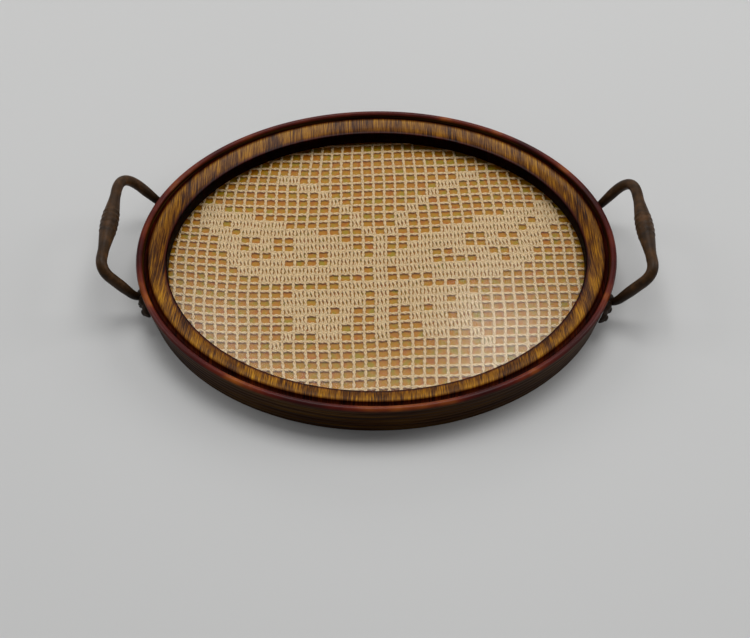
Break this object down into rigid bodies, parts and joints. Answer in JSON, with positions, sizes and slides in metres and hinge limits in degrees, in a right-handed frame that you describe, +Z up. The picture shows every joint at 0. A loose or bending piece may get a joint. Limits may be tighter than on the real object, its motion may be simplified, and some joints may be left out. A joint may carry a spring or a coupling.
{
  "type": "dresser tray",
  "caption": "Oval dresser tray: crochet lace under glass in a grained wood frame, with cast bronze-brown handles.",
  "frame": {"origin": "middle of the underside, on the surface the tray stands on", "axes": "+X from the left handle to the right handle, +Y to the back, +Z up out of the glass"},
  "size_m": [0.2724, 0.2074, 0.0384],
  "materials": {
    "hoop_wood": "stained and varnished, gloss",
    "rim_wood": "grained and varnished, gloss",
    "glass": "clear, polished",
    "lace_cotton": "crocheted cotton thread, matte",
    "gold_cloth": "satin",
    "hardboard": "raw, matte",
    "felt": "felt, matte",
    "bronzed_metal": "bronzed casting, satin",
    "dark_steel": "blued, satin"
  },
  "bodies": {
    "root": {"side_hoop": "hoop_wood", "rim_moulding": "rim_wood", "glass_pane": "glass", "lace_panel": "lace_cotton", "backing_cloth": "gold_cloth", "backing_board": "hardboard", "base_felt": "felt", "handle_left": "bronzed_metal", "handle_right": "bronzed_metal", "brad_01": "dark_steel", "brad_02": "dark_steel", "brad_03": "dark_steel", "brad_04": "dark_steel", "brad_05": "dark_steel", "brad_06": "dark_steel", "brad_07": "dark_steel", "brad_08": "dark_steel", "brad_09": "dark_steel", "brad_10": "dark_steel", "handle_screw_left_front_1": "bronzed_metal", "handle_screw_left_front_2": "bronzed_metal", "handle_screw_left_back_1": "bronzed_metal", "handle_screw_left_back_2": "bronzed_metal", "handle_screw_right_front_1": "bronzed_metal", "handle_screw_right_front_2": "bronzed_metal", "handle_screw_right_back_1": "bronzed_metal", "handle_screw_right_back_2": "bronzed_metal"}
  },
  "joints": []
}
